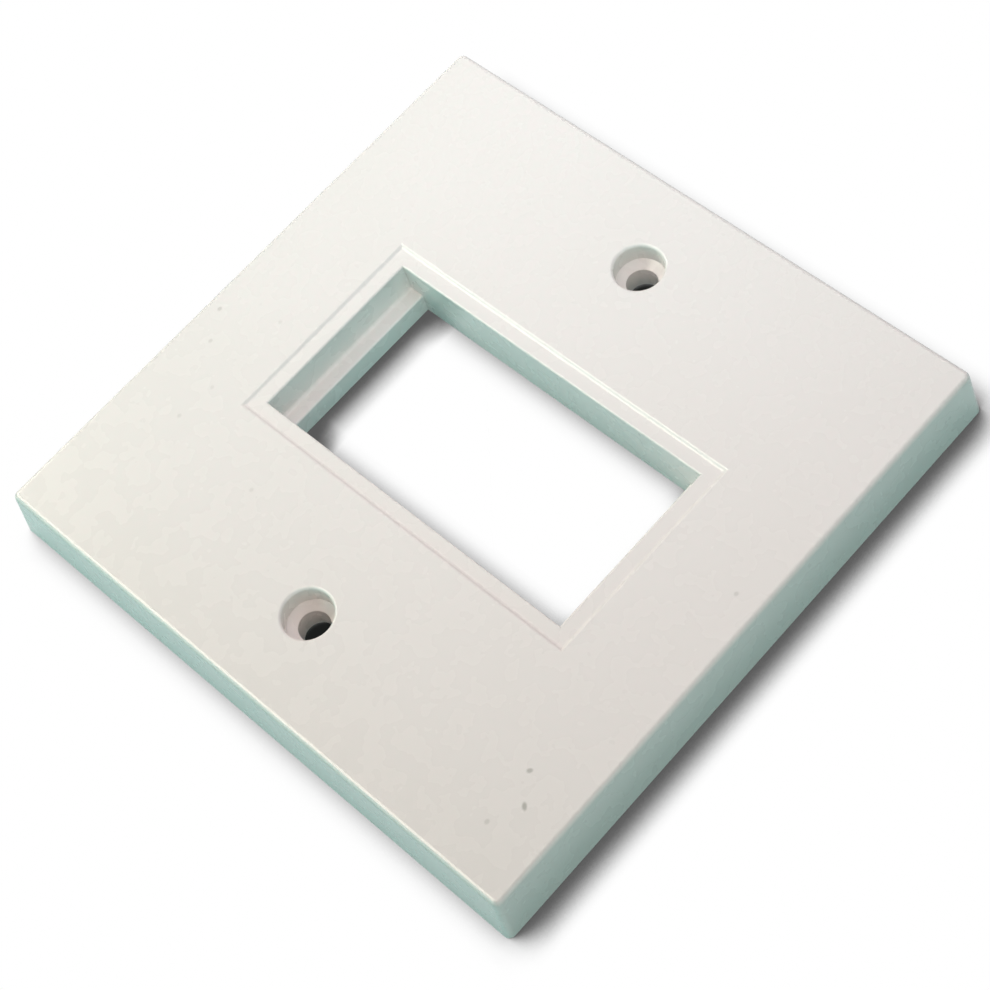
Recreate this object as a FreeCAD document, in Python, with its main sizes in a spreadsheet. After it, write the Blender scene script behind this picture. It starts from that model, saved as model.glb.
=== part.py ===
import FreeCAD, Part
import os

import Sketcher

# A square wall faceplate with one clip-in module opening, moulded in one piece.
# Millimetres. The plate lies on its rim, face up: the origin is the middle of the rim plane,
# +Z comes out of the face, +X runs along the line of the two screws and +Y up the wall.

doc = FreeCAD.newDocument("faceplate_model")

# Driving dimensions

SIZES = [
    ("plate_side", 86.0, "side of the square at the rim"),
    ("plate_depth", 8.5, "rim plane to front face"),
    ("side_lean", 0.85, "how far each side leans in on its way to the front face"),
    ("corner_radius", 0.9, "outer upright corners"),
    ("front_edge_radius", 0.7, "round-over between sides and face"),
    ("face_wall", 2.6, "thickness of the face"),
    ("rim_wall", 2.0, "thickness of the side walls"),
    ("hollow_corner_radius", 0.8, "inner upright corners of the hollow back"),
    ("opening_width", 25.0, "module opening along X"),
    ("opening_height", 50.0, "module opening along Y"),
    ("border_width", 2.4, "sunk border round the module opening, with its slope"),
    ("border_depth", 0.3, "how deep the border is sunk into the face"),
    ("border_slope", 0.4, "how far the slope runs in from the face to the sunk border"),
    ("border_edge_radius", 0.4, "rounding at the head and the foot of the border's slope"),
    ("opening_edge_radius", 0.25, "broken edge of the opening and of its ledges"),
    ("ledge_depth", 5.2, "front face to the end ledges that carry the module"),
    ("ledge_reach", 2.2, "how far each end ledge stands into the opening"),
    ("ledge_root_radius", 0.5, "inner corner between a ledge and its end wall"),
    ("frame_wall", 1.8, "wall of the frame behind the opening"),
    ("screw_spacing", 60.3, "between the two screw centres"),
    ("screw_hole_diameter", 4.2, "clearance for the screw's shank"),
    ("head_recess_diameter", 6.6, "straight recess for the screw's head"),
    ("head_recess_depth", 2.9, "front face to the top of the coned seat"),
    ("head_recess_edge_radius", 0.4, "broken edge of the head recess"),
    ("seat_cone_depth", 0.8, "height of the coned seat under the screw's head"),
    ("boss_wall", 1.6, "wall of the boss round the head recess"),
    ("boss_setback", 1.5, "rim plane to the end of a boss"),
    ("rib_width", 1.2, "thickness of a stiffening rib"),
    ("rib_setback", 2.5, "rim plane to the free edge of a rib"),
]

sheet = doc.addObject("Spreadsheet::Sheet", "sizes")
for row, (alias, value, meaning) in enumerate(SIZES, start=1):
    sheet.set(f"A{row}", meaning)
    sheet.set(f"B{row}", str(value))
    sheet.setAlias(f"B{row}", alias)
doc.recompute()

# Sizes that several features share, worked out from the sheet

UNDERSIDE = "(sizes.plate_depth - sizes.face_wall)"
INSIDE_FACE = "(sizes.plate_depth - sizes.face_wall / 2)"
LEAN_ANGLE = "atan(sizes.side_lean / sizes.plate_depth)"
HOLLOW_HALF = "(sizes.plate_side / 2 - sizes.rim_wall)"
FRAME_MIDDLE = "((sizes.opening_width + sizes.frame_wall) / 2)"
SCREW_X = "(sizes.screw_spacing / 2)"
SHANK_RADIUS = "(sizes.screw_hole_diameter / 2)"
HEAD_RADIUS = "(sizes.head_recess_diameter / 2)"
BOSS_RADIUS = f"({HEAD_RADIUS} + sizes.boss_wall)"
BORDER_WIDTH = "(sizes.opening_width + 2 * sizes.border_width)"
BORDER_HEIGHT = "(sizes.opening_height + 2 * sizes.border_width)"
SUNK_WIDTH = f"({BORDER_WIDTH} - 2 * sizes.border_slope)"
SUNK_HEIGHT = f"({BORDER_HEIGHT} - 2 * sizes.border_slope)"
THROAT_HEIGHT = "(sizes.opening_height - 2 * sizes.ledge_reach)"

body = doc.addObject("PartDesign::Body", "faceplate")
body.Label = "faceplate"
body.Placement = FreeCAD.Placement()

# Sketches

START, END, CENTRE = 1, 2, 3
ORIGIN_POINT = (-1, START)
X_AXIS = -1


def value(expression):
    """What an expression over the sheet comes to, in millimetres."""
    return float(body.evalExpression(expression))


def origin_plane(role):
    """One of the body's own origin planes."""
    return next(plane for plane in body.Origin.OriginFeatures if plane.Role == role)


def new_sketch(name, height=None, plane="XY_Plane"):
    """A sketch on an origin plane, lifted off it by an expression."""
    sketch = body.newObject("Sketcher::SketchObject", name)
    sketch.AttachmentSupport = [(origin_plane(plane), "")]
    sketch.MapMode = "FlatFace"
    if height:
        sketch.setExpression("AttachmentOffset.Base.z", height)
    return sketch


def dimension(sketch, kind, points, name, expression):
    """A named dimension of the sketch, bound to the sheet."""
    index = sketch.addConstraint(Sketcher.Constraint(kind, *points, value(expression)))
    sketch.renameConstraint(index, name)
    sketch.setExpression(f"Constraints.{name}", expression)


def outline(sketch, corners):
    """A closed loop of lines through the corners; gives the lines' numbers."""
    points = [FreeCAD.Vector(x, y, 0) for x, y in corners]
    lines = []
    for start, end in zip(points, points[1:] + points[:1]):
        lines.append(sketch.addGeometry(Part.LineSegment(start, end), False))
    for line, following in zip(lines, lines[1:] + lines[:1]):
        sketch.addConstraint(Sketcher.Constraint("Coincident", line, END, following, START))
    return lines


def square_up(sketch, level_lines, upright_lines):
    """Keeps lines parallel to the sketch's two axes."""
    for line in level_lines:
        sketch.addConstraint(Sketcher.Constraint("Horizontal", line))
    for line in upright_lines:
        sketch.addConstraint(Sketcher.Constraint("Vertical", line))


def rectangle(sketch, left, right, height):
    """A rectangle from x = left to x = right, even about the X axis."""
    half = height / 2
    lines = outline(sketch, [(left, -half), (right, -half), (right, half), (left, half)])
    square_up(sketch, lines[0::2], lines[1::2])
    return lines


def centred_rectangle(sketch, width, height):
    """A rectangle about the origin, width along X and height along Y."""
    half = value(width) / 2
    bottom, side, top, _ = rectangle(sketch, -half, half, value(height))
    middle = Sketcher.Constraint("Symmetric", bottom, START, top, START, *ORIGIN_POINT)
    sketch.addConstraint(middle)
    dimension(sketch, "DistanceX", (bottom, START, bottom, END), "width", width)
    dimension(sketch, "DistanceY", (side, START, side, END), "height", height)


def rectangle_on_x_axis(sketch, near, far, height):
    """A rectangle between two distances from the Y axis, even about the X axis."""
    bottom, side, _, _ = rectangle(sketch, value(near), value(far), value(height))
    dimension(sketch, "DistanceX", (*ORIGIN_POINT, bottom, START), "near", near)
    dimension(sketch, "DistanceX", (*ORIGIN_POINT, bottom, END), "far", far)
    dimension(sketch, "DistanceY", (side, START, side, END), "height", height)
    dimension(sketch, "DistanceY", (side, START, *ORIGIN_POINT), "half_height", f"({height}) / 2")


# Picking faces and edges by where they lie

NEAR = 1e-4


def pick(kind, elements, wanted):
    """The names of the faces or edges whose bounding box is wanted."""
    numbered = enumerate(elements, start=1)
    return [f"{kind}{number}" for number, element in numbered if wanted(element.BoundBox)]


def spans(box, low, high):
    """True for what runs from height low to height high."""
    return abs(box.ZMin - low) < NEAR and abs(box.ZMax - high) < NEAR


def inside(box, width, height):
    """True for what lies within a rectangle of that size about the origin."""
    reach_x = max(-box.XMin, box.XMax)
    reach_y = max(-box.YMin, box.YMax)
    return reach_x < width / 2 + NEAR and reach_y < height / 2 + NEAR


# Features

def finish_feature(feature, volume_before, grows):
    """Recomputes, and stops unless the feature added or removed material as meant."""
    doc.recompute()
    gain = feature.Shape.Volume - volume_before
    if gain == 0 or (gain > 0) != grows:
        raise RuntimeError(f"{feature.Name} changes the volume by {gain:.3f}")
    body.Tip = feature
    return feature


def pad(name, sketch, length):
    """Adds the sketch's outline upwards."""
    volume = body.Shape.Volume if body.Tip else 0.0
    feature = body.newObject("PartDesign::Pad", name)
    feature.Profile = sketch
    feature.setExpression("Length", length)
    return finish_feature(feature, volume, grows=True)


def pocket(name, sketch, length, upwards=False):
    """Cuts the sketch's outline away, downwards unless told otherwise."""
    volume = body.Shape.Volume
    feature = body.newObject("PartDesign::Pocket", name)
    feature.Profile = sketch
    feature.Reversed = upwards
    feature.setExpression("Length", length)
    return finish_feature(feature, volume, grows=False)


def sloped_pocket(name, mouth, foot):
    """Cuts away what lies between two outlines, one above the other."""
    volume = body.Shape.Volume
    feature = body.newObject("PartDesign::SubtractiveLoft", name)
    feature.Profile = mouth
    feature.Sections = [foot]
    feature.Ruled = True
    return finish_feature(feature, volume, grows=False)


def lean_in(name, top, hollow=False):
    """Leans the upright faces between the rim plane and height top towards the middle."""
    base = body.Tip
    feature = body.newObject("PartDesign::Draft", name)
    feature.Base = (base, pick("Face", base.Shape.Faces, lambda box: spans(box, 0, top)))
    feature.NeutralPlane = (origin_plane("XY_Plane"), [""])
    feature.Reversed = hollow
    feature.setExpression("Angle", LEAN_ANGLE)
    return finish_feature(feature, base.Shape.Volume, grows=hollow)


def mirror_left(name, originals, grows):
    """Repeats right-hand features on the left of the plate."""
    volume = body.Shape.Volume
    feature = body.newObject("PartDesign::Mirrored", name)
    feature.Originals = originals
    feature.MirrorPlane = (origin_plane("YZ_Plane"), [""])
    body.Tip = feature
    return finish_feature(feature, volume, grows)


def fillet(name, radius, wanted, grows=False):
    """Rounds the edges whose bounding box is wanted."""
    base = body.Tip
    feature = body.newObject("PartDesign::Fillet", name)
    feature.Base = (base, pick("Edge", base.Shape.Edges, wanted))
    feature.setExpression("Radius", radius)
    return finish_feature(feature, base.Shape.Volume, grows)


# Outer form: leaning sides, rounded corners and a rounded front edge

rim_outline = new_sketch("rim_outline")
centred_rectangle(rim_outline, "sizes.plate_side", "sizes.plate_side")
pad("block", rim_outline, "sizes.plate_depth")

front = value("sizes.plate_depth")
lean_in("leaning_sides", front)
fillet("corner_rounds", "sizes.corner_radius", lambda box: spans(box, 0, front))
fillet("front_edge_round", "sizes.front_edge_radius", lambda box: spans(box, front, front))

# Hollow back: it leans in with the sides, so that the walls keep one thickness

hollow_outline = new_sketch("hollow_outline")
centred_rectangle(hollow_outline, f"2 * {HOLLOW_HALF}", f"2 * {HOLLOW_HALF}")
pocket("hollow", hollow_outline, UNDERSIDE, upwards=True)

underside = value(UNDERSIDE)
lean_in("leaning_hollow", underside, hollow=True)
fillet(
    "hollow_corner_rounds",
    "sizes.hollow_corner_radius",
    lambda box: spans(box, 0, underside),
    grows=True,
)

# Frame behind the module opening, still closed

frame_outline = new_sketch("frame_outline")
centred_rectangle(
    frame_outline,
    "sizes.opening_width + 2 * sizes.frame_wall",
    "sizes.opening_height + 2 * sizes.frame_wall",
)
pad("module_frame", frame_outline, INSIDE_FACE)

# Right-hand boss and ribs: one rib carries each long frame wall on to the rim,
# the other ties the boss to the frame and to the rim

boss_outline = new_sketch("boss_outline", "sizes.boss_setback")
boss_centre = FreeCAD.Vector(value(SCREW_X), 0, 0)
boss_circle = Part.Circle(boss_centre, FreeCAD.Vector(0, 0, 1), value(BOSS_RADIUS))
ring = boss_outline.addGeometry(boss_circle, False)
boss_outline.addConstraint(Sketcher.Constraint("PointOnObject", ring, CENTRE, X_AXIS))
dimension(boss_outline, "DistanceX", (*ORIGIN_POINT, ring, CENTRE), "reach", SCREW_X)
dimension(boss_outline, "Radius", (ring,), "outer_radius", BOSS_RADIUS)
boss = pad("boss", boss_outline, f"{INSIDE_FACE} - sizes.boss_setback")

frame_rib_outline = new_sketch("frame_rib_outline", "sizes.rib_setback")
rectangle_on_x_axis(
    frame_rib_outline,
    f"{FRAME_MIDDLE} - sizes.rib_width / 2",
    f"{FRAME_MIDDLE} + sizes.rib_width / 2",
    f"2 * {HOLLOW_HALF}",
)
frame_rib = pad("frame_rib", frame_rib_outline, f"{INSIDE_FACE} - sizes.rib_setback")

boss_rib_outline = new_sketch("boss_rib_outline", "sizes.rib_setback")
rectangle_on_x_axis(boss_rib_outline, FRAME_MIDDLE, HOLLOW_HALF, "sizes.rib_width")
boss_rib = pad("boss_rib", boss_rib_outline, f"{INSIDE_FACE} - sizes.rib_setback")

mirror_left("left_boss_and_ribs", [boss, frame_rib, boss_rib], grows=True)

# Module opening: sunk border, seat down to the end ledges, and the way through between them

border_outline = new_sketch("border_outline", "sizes.plate_depth")
centred_rectangle(border_outline, BORDER_WIDTH, BORDER_HEIGHT)
sunk_outline = new_sketch("sunk_outline", "sizes.plate_depth - sizes.border_depth")
centred_rectangle(sunk_outline, SUNK_WIDTH, SUNK_HEIGHT)
sloped_pocket("border", border_outline, sunk_outline)

seat_outline = new_sketch("seat_outline", "sizes.plate_depth")
centred_rectangle(seat_outline, "sizes.opening_width", "sizes.opening_height")
pocket("module_seat", seat_outline, "sizes.ledge_depth")

throat_outline = new_sketch("throat_outline", "sizes.plate_depth")
centred_rectangle(throat_outline, "sizes.opening_width", THROAT_HEIGHT)
pocket("module_throat", throat_outline, "sizes.plate_depth")

# Screw holes: head recess, coned seat and clearance hole in one turned profile

screw_x = value(SCREW_X)
shank_x = screw_x + value(SHANK_RADIUS)
head_x = screw_x + value(HEAD_RADIUS)
cone_top = front - value("sizes.head_recess_depth")
cone_foot = cone_top - value("sizes.seat_cone_depth")

hole_profile = new_sketch("hole_profile", plane="XZ_Plane")
foot, shank, cone, recess, mouth, middle = outline(
    hole_profile,
    [
        (screw_x, 0),
        (shank_x, 0),
        (shank_x, cone_foot),
        (head_x, cone_top),
        (head_x, front),
        (screw_x, front),
    ],
)
square_up(hole_profile, (foot, mouth), (shank, recess, middle))
hole_profile.addConstraint(Sketcher.Constraint("PointOnObject", foot, START, X_AXIS))
for kind, points, name, expression in (
    ("DistanceX", (*ORIGIN_POINT, foot, START), "reach", SCREW_X),
    ("DistanceX", (foot, START, foot, END), "shank_radius", SHANK_RADIUS),
    ("DistanceX", (mouth, END, mouth, START), "head_radius", HEAD_RADIUS),
    ("DistanceY", (*ORIGIN_POINT, middle, START), "face_height", "sizes.plate_depth"),
    ("DistanceY", (recess, START, recess, END), "head_depth", "sizes.head_recess_depth"),
    ("DistanceY", (cone, START, cone, END), "cone_depth", "sizes.seat_cone_depth"),
):
    dimension(hole_profile, kind, points, name, expression)

axis_line = Part.LineSegment(FreeCAD.Vector(screw_x, 0, 0), FreeCAD.Vector(screw_x, front, 0))
axis = hole_profile.addGeometry(axis_line, True)
for end, corner in ((START, (foot, START)), (END, (middle, START))):
    hole_profile.addConstraint(Sketcher.Constraint("Coincident", axis, end, *corner))

undrilled = body.Shape.Volume
screw_hole = body.newObject("PartDesign::Groove", "screw_hole")
screw_hole.Profile = hole_profile
screw_hole.ReferenceAxis = (hole_profile, ["Axis0"])
screw_hole.Angle = 360
finish_feature(screw_hole, undrilled, grows=False)
mirror_left("left_screw_hole", [screw_hole], grows=False)

# Broken edges on the front

opening = (value("sizes.opening_width"), value("sizes.opening_height"))
border = (value(BORDER_WIDTH), value(BORDER_HEIGHT))
sunk = (value(SUNK_WIDTH), value(SUNK_HEIGHT))
border_floor = front - value("sizes.border_depth")
ledge_top = front - value("sizes.ledge_depth")
throat = (opening[0], value(THROAT_HEIGHT))


def on_border(box):
    """The head of the slope round the sunk border."""
    return spans(box, front, front) and inside(box, *border)


def on_border_foot(box):
    """The foot of that slope."""
    outside_opening = not inside(box, *opening)
    return spans(box, border_floor, border_floor) and inside(box, *sunk) and outside_opening


def on_opening(box):
    """The mouth of the opening and the inner edges of its ledges."""
    mouth_edge = spans(box, border_floor, border_floor) and inside(box, *opening)
    ledge_edge = spans(box, ledge_top, ledge_top) and inside(box, *throat)
    return mouth_edge or ledge_edge


def on_head_recess(box):
    """The mouths of the two screw holes."""
    about_screw = abs(abs(box.Center.x) - screw_x) < NEAR
    return spans(box, front, front) and about_screw


def on_ledge_root(box):
    """The inner corners where the ledges meet the end walls of the seat."""
    at_end_wall = abs(abs(box.Center.y) - opening[1] / 2) < NEAR
    return spans(box, ledge_top, ledge_top) and inside(box, *opening) and at_end_wall


fillet("ledge_roots", "sizes.ledge_root_radius", on_ledge_root, grows=True)
fillet("opening_edges", "sizes.opening_edge_radius", on_opening)
fillet("border_edges", "sizes.border_edge_radius", on_border)
fillet("border_feet", "sizes.border_edge_radius", on_border_foot, grows=True)
fillet("head_recess_edges", "sizes.head_recess_edge_radius", on_head_recess)

# Checks, then the finished plate

failed = [item.Name for item in doc.Objects if {"Invalid", "Error"} & set(item.State)]
if failed:
    raise RuntimeError(f"not built: {failed}")
plate = body.Shape
if plate.isNull() or not plate.isValid() or len(plate.Solids) != 1:
    raise RuntimeError("the plate is not one valid solid")
bounds = plate.optimalBoundingBox()
print(f"{body.Label}: {bounds.XLength:.2f} x {bounds.YLength:.2f} x {bounds.ZLength:.2f} mm")
print(f"volume {plate.Volume:.1f} mm3, faces {len(plate.Faces)}")

os.makedirs("parts", exist_ok=True)
plate.exportStep(f"parts/{body.Label}.step")
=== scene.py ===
# %% [markdown]
# # A wall faceplate, finished and lit
#
# The object is a square cover plate for a wall box, moulded in one piece of white plastic. It
# lies face up on its rim, with a tall opening for a clip-in module and one screw hole on each
# side. The CAD model already has the true walls, steps and rounded edges, and its mesh carries
# smooth normals. It could be modelled a second time here, but a copy could only drift away from
# it, so the CAD mesh stays and this lesson is about what makes it look real: the finish of the
# plastic, the light and the camera. Everything is in metres, in the frame of the CAD model.

import math

import bmesh
import bpy
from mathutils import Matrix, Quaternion, Vector


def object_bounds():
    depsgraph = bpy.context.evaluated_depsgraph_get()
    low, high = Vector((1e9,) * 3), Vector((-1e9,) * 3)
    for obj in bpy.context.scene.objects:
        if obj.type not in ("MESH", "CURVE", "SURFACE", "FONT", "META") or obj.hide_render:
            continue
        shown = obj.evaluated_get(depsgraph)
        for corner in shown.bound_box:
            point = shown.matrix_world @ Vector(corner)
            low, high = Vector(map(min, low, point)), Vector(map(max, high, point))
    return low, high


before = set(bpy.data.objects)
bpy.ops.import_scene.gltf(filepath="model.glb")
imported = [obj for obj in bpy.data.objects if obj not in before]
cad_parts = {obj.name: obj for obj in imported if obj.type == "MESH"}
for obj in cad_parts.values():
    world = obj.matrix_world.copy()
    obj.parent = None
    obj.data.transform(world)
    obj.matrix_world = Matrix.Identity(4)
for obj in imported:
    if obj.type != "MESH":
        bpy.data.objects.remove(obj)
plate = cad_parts["faceplate"]
cad_low, cad_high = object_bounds()
MM = 0.001
print("plate", [round(size / MM, 2) for size in cad_high - cad_low], "mm")

# %% [markdown]
# ## Camera
#
# The photograph looks down on the plate from about sixty degrees, with the plate turned until a
# corner points at the viewer. A camera is fixed by where it stands, what it looks at, how far it
# is rolled about its own line of sight, and its lens. Writing those four down is clearer than a
# matrix, because each can be changed by itself.

# %% Camera
CAMERA_PLACE = Vector((-0.0694, -0.1268, 0.2455))
CAMERA_AIM = Vector((-0.0023, -0.0030, 0.0))
CAMERA_ROLL = math.radians(-21.4)
CAMERA_LENS = 82.8


def link(obj):
    """Puts a new object in the scene."""
    bpy.context.scene.collection.objects.link(obj)
    return obj


camera_data = bpy.data.cameras.new("camera")
camera_data.lens = CAMERA_LENS
camera = link(bpy.data.objects.new("camera", camera_data))
sight = CAMERA_AIM - CAMERA_PLACE
roll = Quaternion((0.0, 0.0, 1.0), CAMERA_ROLL)
camera.location = CAMERA_PLACE
camera.rotation_euler = (sight.to_track_quat("-Z", "Y") @ roll).to_euler()
bpy.context.scene.camera = camera
print("camera stands", round(sight.length / MM), "mm from what it looks at")

# %% [markdown]
# ## Nodes in few words
#
# The finishes are node trees. A few small helpers keep them readable: they add a node, set its
# sockets and join it to what feeds it. A value that stays constant is set directly on its
# socket, so that nothing is linked without need.

# %% Node helpers


def feed(tree, value, socket):
    """Sets a socket to a constant, or links it to another node's output."""
    if isinstance(value, bpy.types.NodeSocket):
        tree.links.new(value, socket)
    else:
        socket.default_value = value


def add_node(tree, kind, settings=None, **sockets):
    """Adds a node: settings are its own options, the rest are its sockets' values or feeds."""
    made = tree.nodes.new(kind)
    for name, option in (settings or {}).items():
        setattr(made, name, option)
    for name, value in sockets.items():
        feed(tree, value, made.inputs[name.replace("_", " ")])
    return made


def maths(tree, operation, first, second):
    """A Math node on two values; gives its output."""
    made = add_node(tree, "ShaderNodeMath", {"operation": operation})
    for socket, value in zip(made.inputs, (first, second)):
        feed(tree, value, socket)
    return made.outputs["Value"]


def vector_maths(tree, operation, *vectors):
    """A Vector Math node on one or two vectors that gives a single value."""
    made = add_node(tree, "ShaderNodeVectorMath", {"operation": operation})
    for socket, vector in zip(made.inputs, vectors):
        feed(tree, vector, socket)
    return made.outputs["Value"]


def colour_mix(tree, share, first, second):
    """Mixes two colours by a share from 0 to 1; gives the result."""
    made = add_node(tree, "ShaderNodeMix", {"data_type": "RGBA"})
    open_sockets = [socket for socket in made.inputs if socket.enabled]
    for socket, value in zip(open_sockets, (share, first, second)):
        feed(tree, value, socket)
    return next(socket for socket in made.outputs if socket.enabled)


def ramp(tree, value, start, end, low=0.0, high=1.0):
    """Goes smoothly from low to high as the value goes from start to end."""
    limits = {"From_Min": start, "From_Max": end, "To_Min": low, "To_Max": high}
    options = {"interpolation_type": "SMOOTHSTEP"}
    return add_node(tree, "ShaderNodeMapRange", options, Value=value, **limits).outputs["Result"]


def object_place(tree):
    """The place of a point in the object's own frame, in metres."""
    return tree.nodes.new("ShaderNodeTexCoord").outputs["Object"]


def empty_tree(owner):
    """Clears the node tree of a material or world and gives it."""
    owner.use_nodes = True
    owner.node_tree.nodes.clear()
    return owner.node_tree


print("node helpers ready")

# %% [markdown]
# ## Floor
#
# The background of the photograph is plain white, yet the upright sides of the plate look
# sea-green, because light comes back to them from a green-grey surface. One floor does both. To
# light that bounces on to the plate it is sea-green. To the eye it is an even white glow, so that
# no dim horizon shows from a low angle, and the plate's shadow is painted into that glow. The
# painted shadow is close and soft: dark where the plate meets the floor and gone a few millimetres
# away. Ambient occlusion gives just that, because it measures how much of the view from a floor
# point the plate closes off. With a normal that leans to one side it counts that side more than
# the others. Hardly any light gets down a screw hole, so the floor under the two holes is painted
# nearly black, as painted shade.

# %% Floor
FLOOR_GAP = 0.02 * MM
FLOOR_HALF = 2.0
FLOOR_BOUNCE = (0.13, 0.40, 0.39, 1.0)
WHITE = (1.0, 1.0, 1.0, 1.0)
SHADE = (0.10, 0.10, 0.10, 1.0)
SHADE_REACH = 5 * MM
SHADE_LEAN = Vector((-0.25, 0.6, 0.76))
SHADE_CORE = 0.40
SHADE_END = 0.97
HOLE_SHADE = (0.012, 0.013, 0.012, 1.0)
HOLE_PLACES = [Vector((-30.15 * MM, 0.0, 0.0)), Vector((30.15 * MM, 0.0, 0.0))]
HOLE_DARK = 2.5 * MM
HOLE_EDGE = 3.5 * MM

floor_shape = bmesh.new()
bmesh.ops.create_grid(floor_shape, x_segments=1, y_segments=1, size=FLOOR_HALF)
bmesh.ops.translate(floor_shape, verts=floor_shape.verts, vec=(0, 0, -FLOOR_GAP))
floor_mesh = bpy.data.meshes.new("floor")
floor_shape.to_mesh(floor_mesh)
floor_shape.free()
floor = link(bpy.data.objects.new("floor", floor_mesh))


def seen_directly(tree):
    """1 where a thing is seen straight on, in a reflection or through glass, else 0."""
    path = tree.nodes.new("ShaderNodeLightPath").outputs
    mirrored = maths(tree, "MAXIMUM", path["Is Glossy Ray"], path["Is Transmission Ray"])
    return maths(tree, "MAXIMUM", path["Is Camera Ray"], mirrored)


def open_view(tree):
    """1 where a floor point has an open view on the leaning side, 0 in the core of the shadow."""
    lean = add_node(tree, "ShaderNodeCombineXYZ", X=SHADE_LEAN.x, Y=SHADE_LEAN.y, Z=SHADE_LEAN.z)
    occlusion = add_node(
        tree,
        "ShaderNodeAmbientOcclusion",
        Distance=SHADE_REACH,
        Normal=lean.outputs["Vector"],
    )
    return ramp(tree, occlusion.outputs["AO"], SHADE_CORE, SHADE_END)


def under_screw_hole(tree):
    """1 under a screw hole, 0 elsewhere."""
    place = object_place(tree)
    mask = 0.0
    for middle in HOLE_PLACES:
        away = vector_maths(tree, "DISTANCE", place, middle)
        spot = ramp(tree, away, HOLE_DARK, HOLE_EDGE, 1.0, 0.0)
        mask = maths(tree, "MAXIMUM", mask, spot)
    return mask


def floor_finish():
    """White with a painted close shadow and painted shade under the screw holes to the eye,
    sea-green to the light.
    """
    finish = bpy.data.materials.new("floor")
    tree = empty_tree(finish)
    # Painted shadow: ambient occlusion darkens the floor's white glow near the plate, and painted
    # shade makes it nearly black under the screw holes.
    open_tone = colour_mix(tree, open_view(tree), SHADE, WHITE)
    tone = colour_mix(tree, under_screw_hole(tree), open_tone, HOLE_SHADE)
    shown = add_node(tree, "ShaderNodeEmission", Color=tone).outputs["Emission"]
    green = add_node(tree, "ShaderNodeBsdfDiffuse", Color=FLOOR_BOUNCE).outputs["BSDF"]
    surface = tree.nodes.new("ShaderNodeMixShader")
    for socket, value in zip(surface.inputs, (seen_directly(tree), green, shown)):
        feed(tree, value, socket)
    add_node(tree, "ShaderNodeOutputMaterial", Surface=surface.outputs["Shader"])
    return finish


floor_mesh.materials.append(floor_finish())
print("floor", 2 * FLOOR_HALF, "m square")

# %% [markdown]
# ## Light
#
# The light on the plate is soft, and it fades from the far corner to the near one, as light does
# close to its source. So the broad main softbox hangs low over the far corner; a lamp doesn't show
# from behind, and the camera looks past it. A small one stands behind the plate, so that the
# slopes of the sunk border that face away from it draw dark lines and those that face it light
# ones, and a warm one hangs above. The upright sides look out over the floor at sea-green
# surroundings, and two large weak cards, in front and on the left, stand for those. The power of
# a lamp says little by itself, so each lamp is given the level at which it lights a white surface
# that faces it: 1 renders white as white. The power then follows from the distance.

# %% Lamps
MIDDLE = Vector((0.0, 0.0, 0.0))
OVER_FAR_CORNER = Vector((0.080, 0.035, 0.121))
FLOOR_BELOW = Vector((OVER_FAR_CORNER.x, OVER_FAR_CORNER.y, 0.0))
BEHIND = Vector((-0.05, 0.26, 0.20))
OVERHEAD = Vector((-0.08, -0.05, 0.50))
LOW_IN_FRONT = Vector((-0.12, -0.72, 0.15))
LOW_ON_LEFT = Vector((-0.33, 0.12, 0.11))
COOL_WHITE = (0.92, 0.91, 1.0)
CREAM_WHITE = (1.0, 0.955, 0.81)
PEACH = (1.0, 0.85, 0.75)
PALE_SEA_GREEN = (0.74, 1.0, 0.95)
SEA_GREEN = (0.36, 1.0, 0.92)
# The name, where it hangs, where it is turned to, its side in metres, its level and its tint.
LAMPS = [
    ("main_softbox", OVER_FAR_CORNER, FLOOR_BELOW, 0.20, 0.63, COOL_WHITE),
    ("back_softbox", BEHIND, MIDDLE, 0.10, 0.395, CREAM_WHITE),
    ("top_softbox", OVERHEAD, MIDDLE, 0.25, 0.22, PEACH),
    ("front_card", LOW_IN_FRONT, MIDDLE, 0.60, 0.41, PALE_SEA_GREEN),
    ("left_card", LOW_ON_LEFT, MIDDLE, 0.25, 0.275, SEA_GREEN),
]


def softbox(name, place, aim, size, level, tint):
    """Hangs a square lamp at a place, turned to a point, and gives it."""
    data = bpy.data.lights.new(name, "AREA")
    data.size = size
    data.color = tint
    data.energy = level * (math.pi * place.length) ** 2
    lamp = link(bpy.data.objects.new(name, data))
    lamp.location = place
    lamp.rotation_euler = (place - aim).to_track_quat("Z", "Y").to_euler()
    print(name, round(data.energy, 2), "W,", round(place.length, 2), "m away")
    return lamp


for lamp_row in LAMPS:
    softbox(*lamp_row)

# %% [markdown]
# ## Shine
#
# The rounded left edge carries a bright line from end to end, and so does the slope of the sunk
# border on the right of the opening. Both mirror the same place, high up on the left and behind.
# Another softbox there would bleach the left side, so a card that shows in reflections only hangs
# there and leaves all other light as it is. It hangs high because a flat face mirrors what lies
# low behind it when it is seen from low down, and a card there would cover it in glare.

# %% Shine
HIGH_ON_LEFT = Vector((-0.190, 0.200, 0.360))
LEFT_EDGE = Vector((-0.042, HIGH_ON_LEFT.y, 0.008))
SHINE_SIDE = 0.30
SHINE_LEVEL = 0.95
WARM_WHITE = (1.0, 0.92, 0.80)

shine_card = softbox("shine_card", HIGH_ON_LEFT, LEFT_EDGE, SHINE_SIDE, SHINE_LEVEL, WARM_WHITE)
shine_card.visible_diffuse = False

# %% [markdown]
# ## Room
#
# The room is as white as the floor to the eye and in reflections, so the two meet without a line.
# To the light it is nearly black: the lamps alone shape the plate.

# %% World
AMBIENT = (0.02, 0.02, 0.02, 1.0)

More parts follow.
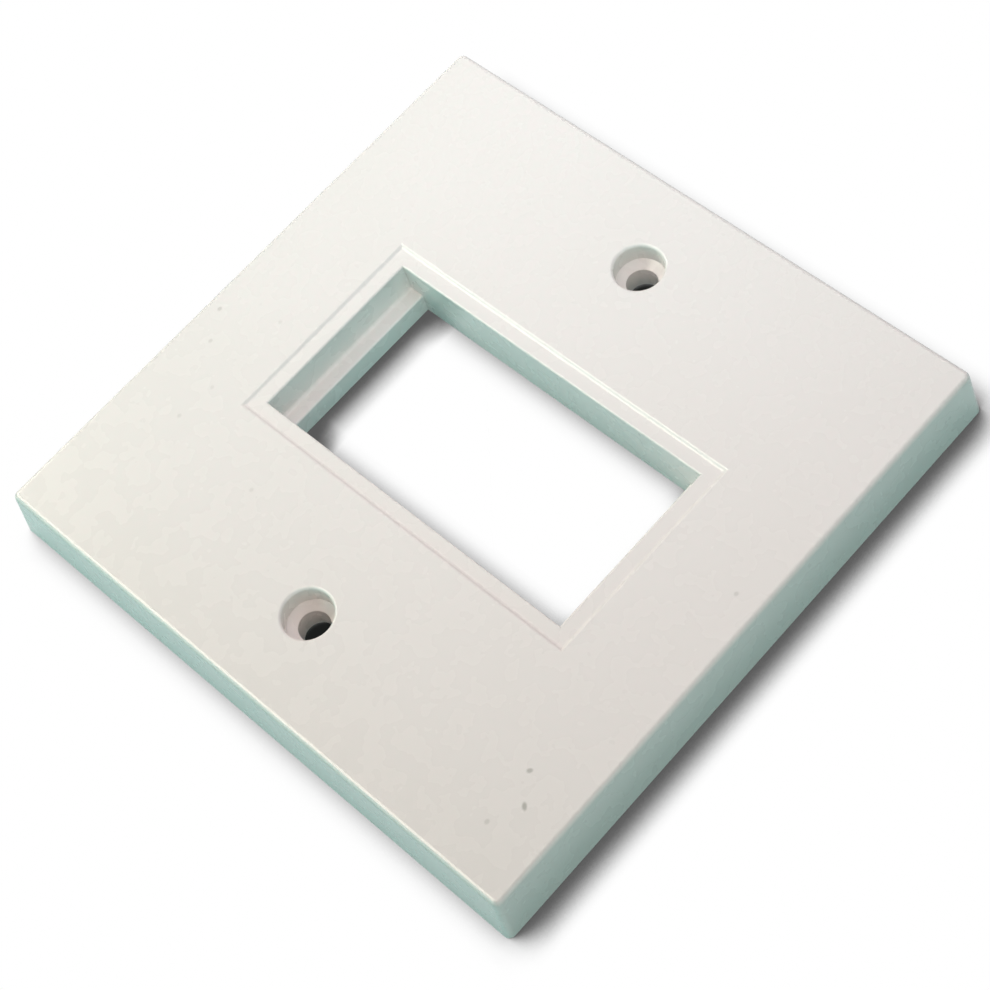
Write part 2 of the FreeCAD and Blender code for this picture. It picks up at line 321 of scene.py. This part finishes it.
world = bpy.data.worlds.new("room")
bpy.context.scene.world = world
world_tree = empty_tree(world)
sky = colour_mix(world_tree, seen_directly(world_tree), AMBIENT, WHITE)
backdrop = add_node(world_tree, "ShaderNodeBackground", Color=sky)
add_node(world_tree, "ShaderNodeOutputWorld", Surface=backdrop.outputs["Background"])
bpy.context.scene.view_settings.view_transform = "Standard"
print("world", AMBIENT)

# %% [markdown]
# ## Plastic
#
# The plate is a white, slightly warm plastic with the satin of a spark-finished mould. A single
# flat colour would look like paint, so the white is mottled between a rosier and a greener one,
# drifts a little over the face, and the gloss is uneven. A fine grain breaks up the reflections.
# The white is also painted darker and warmer towards the near corner: painted shade for the light
# that is dimmer there.

# %% Plastic
ROSY_WHITE = (0.876, 0.838, 0.818, 1.0)
GREENISH_WHITE = (0.852, 0.846, 0.815, 1.0)
WORN_WHITE = (0.845, 0.830, 0.795, 1.0)
WORN_SHARE = 0.5
# Painted shade: the white turns darker and warmer towards the near corner.
NEAR_SHADE_WHITE = (0.850, 0.755, 0.728, 1.0)
NEAR_SHADE_SHARE = 0.70
NEAR_CORNER_SIDE = Vector((-1.0, -1.0, 0.0)).normalized()
NEAR_SHADE_REACH = 58 * MM
MOTTLE = 1.2 * MM
DRIFT = 14 * MM
SHEEN_SPOT = 3 * MM
SMOOTHEST = 0.24
ROUGHEST = 0.30
PATCH_DETAIL = 2.0
# Nearly all values of a noise lie between these two.
NOISE_LOW = 0.3
NOISE_HIGH = 0.7


def noise(tree, place, spot, detail):
    """Soft random values about one half, in spots about as wide as spot, in metres."""
    made = add_node(tree, "ShaderNodeTexNoise", Vector=place, Scale=1.0 / spot, Detail=detail)
    return made.outputs["Fac"]


def patches(tree, place, spot, low=0.0, high=1.0):
    """Soft patches about as wide as spot that go all the way from low to high."""
    values = noise(tree, place, spot, PATCH_DETAIL)
    return ramp(tree, values, NOISE_LOW, NOISE_HIGH, low, high)


def near_shade_share(tree, place):
    """How much painted shade the white gets: none at the far corner, most at the near one."""
    nearness = vector_maths(tree, "DOT_PRODUCT", place, NEAR_CORNER_SIDE)
    return ramp(tree, nearness, -NEAR_SHADE_REACH, NEAR_SHADE_REACH, 0.0, NEAR_SHADE_SHARE)


print("mottle", MOTTLE / MM, "mm, drift", DRIFT / MM, "mm")

# %% [markdown]
# ## Specks
#
# The plate has been handled: a few tiny specks of dirt sit on its face, two of them plain to see
# near the near corner. Little meshes would stand proud of the face, so each speck is a stain in
# the plastic. A Mapping node moves, turns and squeezes space until the speck is a ball of radius
# one, and then the distance from its middle tells how dark a point is. The ball is shallow, so
# the stain doesn't reach the inside of the plate.

# %% Specks
SPECK = (0.26, 0.25, 0.21, 1.0)
SPECK_DEPTH = 0.4 * MM
SPECK_CORE = 0.3
SPECK_RIM = 1.0
# Millimetres across and along the face, half length, half width, turn in degrees, darkness.
SPECKS = [
    (-31.50, -36.70, 0.75, 0.42, 45, 0.65),
    (-27.98, -34.30, 0.55, 0.42, -35, 0.55),
    (-35.50, -34.60, 0.50, 0.42, 0, 0.30),
    (3.05, -38.55, 0.45, 0.40, 0, 0.28),
    (-6.58, 40.05, 0.50, 0.42, 0, 0.32),
    (-10.70, 37.52, 0.46, 0.40, 0, 0.26),
    (-3.20, 32.00, 0.44, 0.38, 0, 0.18),
    (-15.40, 32.30, 0.46, 0.38, 30, 0.16),
    (-20.90, 32.78, 0.46, 0.40, 0, 0.20),
    (-22.60, 17.55, 0.46, 0.40, 0, 0.19),
]


def speck_mask(tree, place):
    """Above 0 inside a speck, more where it is darker."""
    mask = 0.0
    for across, along, long, wide, turn, darkness in SPECKS:
        squeezed = add_node(
            tree,
            "ShaderNodeMapping",
            {"vector_type": "TEXTURE"},
            Vector=place,
            Location=(across * MM, along * MM, cad_high.z),
            Rotation=(0.0, 0.0, math.radians(turn)),
            Scale=(long * MM, wide * MM, SPECK_DEPTH),
        )
        away = vector_maths(tree, "LENGTH", squeezed.outputs["Vector"])
        stain = ramp(tree, away, SPECK_CORE, SPECK_RIM, darkness, 0.0)
        mask = maths(tree, "MAXIMUM", mask, stain)
    return mask


print(len(SPECKS), "specks")

# %% [markdown]
# ## Plastic on the plate
#
# The whites are laid over each other from fine to broad, and the specks come last, as dirt does.
# Colour, gloss and grain all follow the plate's own frame, so they stay with it wherever it goes.

# %% Plastic on the plate
GRAIN = 0.3 * MM
GRAIN_DEPTH = 0.02 * MM
GRAIN_DETAIL = 3.0
GRAIN_STRENGTH = 0.25
PLASTIC_IOR = 1.5


def grain_normal(tree, place):
    """The normal of a surface with a fine spark-finished grain."""
    grain = noise(tree, place, GRAIN, GRAIN_DETAIL)
    bump = add_node(
        tree,
        "ShaderNodeBump",
        Strength=GRAIN_STRENGTH,
        Distance=GRAIN_DEPTH,
        Height=grain,
    )
    return bump.outputs["Normal"]


def plastic_finish():
    """White moulded plastic with satin grain and a few specks."""
    finish = bpy.data.materials.new("white_moulded_plastic")
    tree = empty_tree(finish)
    place = object_place(tree)
    white = colour_mix(tree, patches(tree, place, MOTTLE), ROSY_WHITE, GREENISH_WHITE)
    worn = patches(tree, place, DRIFT, 0.0, WORN_SHARE)
    aged = colour_mix(tree, worn, white, WORN_WHITE)
    # Painted shade: the white is painted darker and warmer towards the near corner.
    near_shaded = colour_mix(tree, near_shade_share(tree, place), aged, NEAR_SHADE_WHITE)
    surface = add_node(
        tree,
        "ShaderNodeBsdfPrincipled",
        Base_Color=colour_mix(tree, speck_mask(tree, place), near_shaded, SPECK),
        Roughness=patches(tree, place, SHEEN_SPOT, SMOOTHEST, ROUGHEST),
        IOR=PLASTIC_IOR,
        Normal=grain_normal(tree, place),
    )
    add_node(tree, "ShaderNodeOutputMaterial", Surface=surface.outputs["BSDF"])
    return finish


plate.material_slots[0].material = plastic_finish()
print("plastic on", plate.name)
